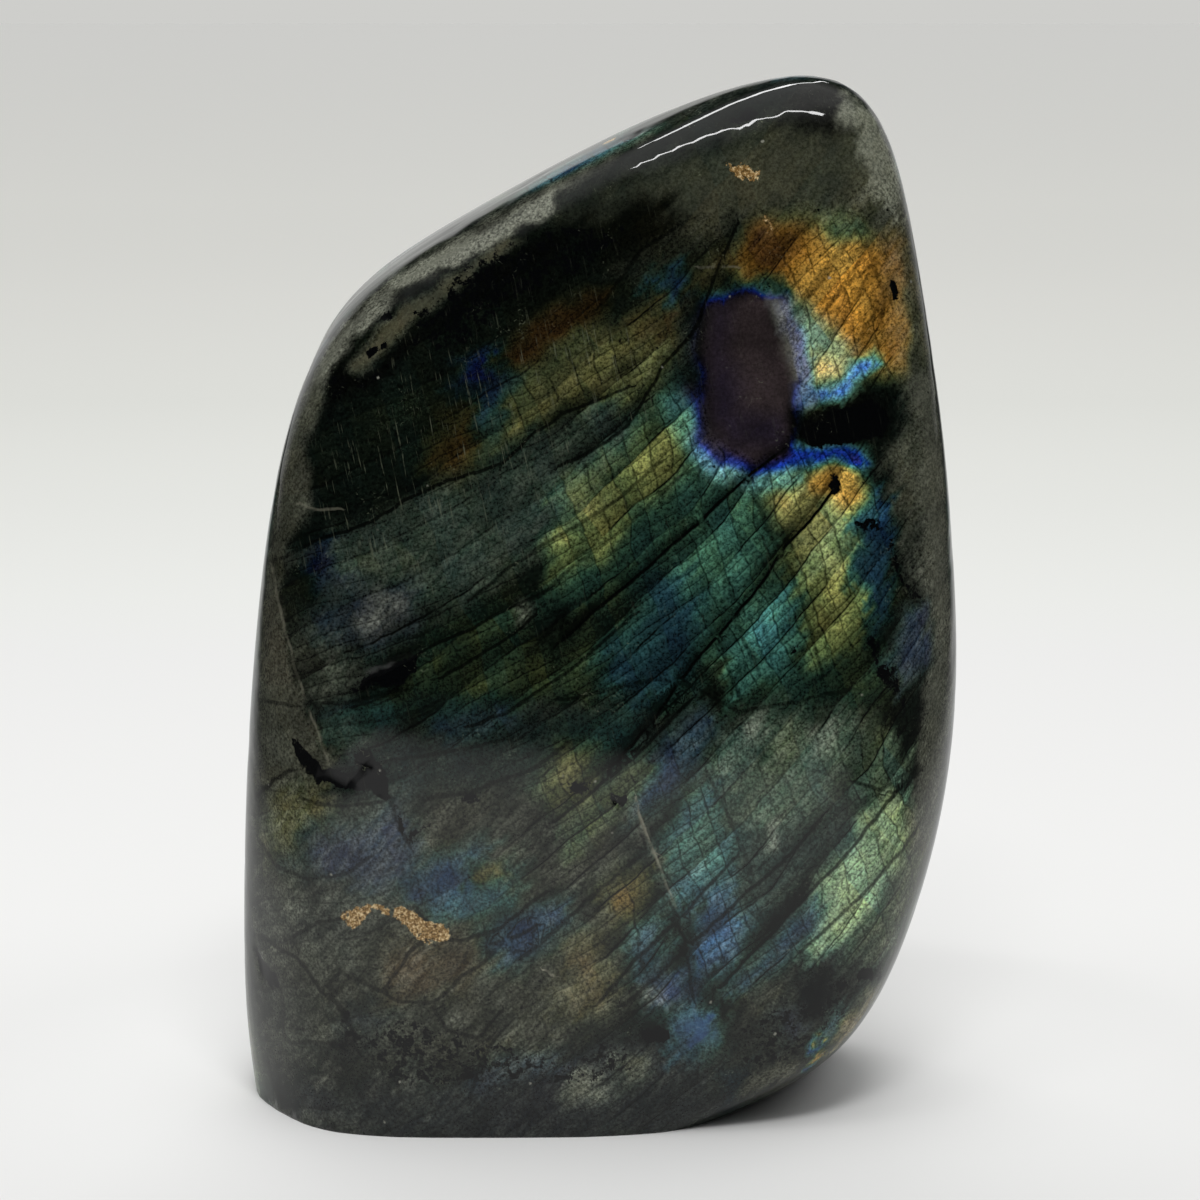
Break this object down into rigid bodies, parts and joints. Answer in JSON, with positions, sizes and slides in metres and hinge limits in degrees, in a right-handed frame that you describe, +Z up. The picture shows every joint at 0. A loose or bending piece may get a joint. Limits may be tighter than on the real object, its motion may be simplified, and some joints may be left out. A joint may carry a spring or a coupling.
{
  "type": "polished labradorite freeform",
  "caption": "Self-standing slab of labradorite with one slanting shoulder, sawn flat underneath, polished all over, with colour flashing inside the stone; for display or as a small weight.",
  "frame": {"origin": "middle of the stone's bounding box from left to right and from front to back, on the flat sawn base, at z = 0", "axes": "+Z up, along the stone's height; the broad face with the strongest colour looks along -Y, so +X is to the right of someone who looks at it, and the stone's thickness runs along Y"},
  "size_m": [0.0902, 0.0502, 0.1295],
  "materials": {
    "polished_labradorite": "mirror-polished dark grey-green feldspar with blue, green, yellow and orange flashes under the surface"
  },
  "bodies": {
    "root": {"labradorite_stone": "polished_labradorite"}
  },
  "joints": []
}
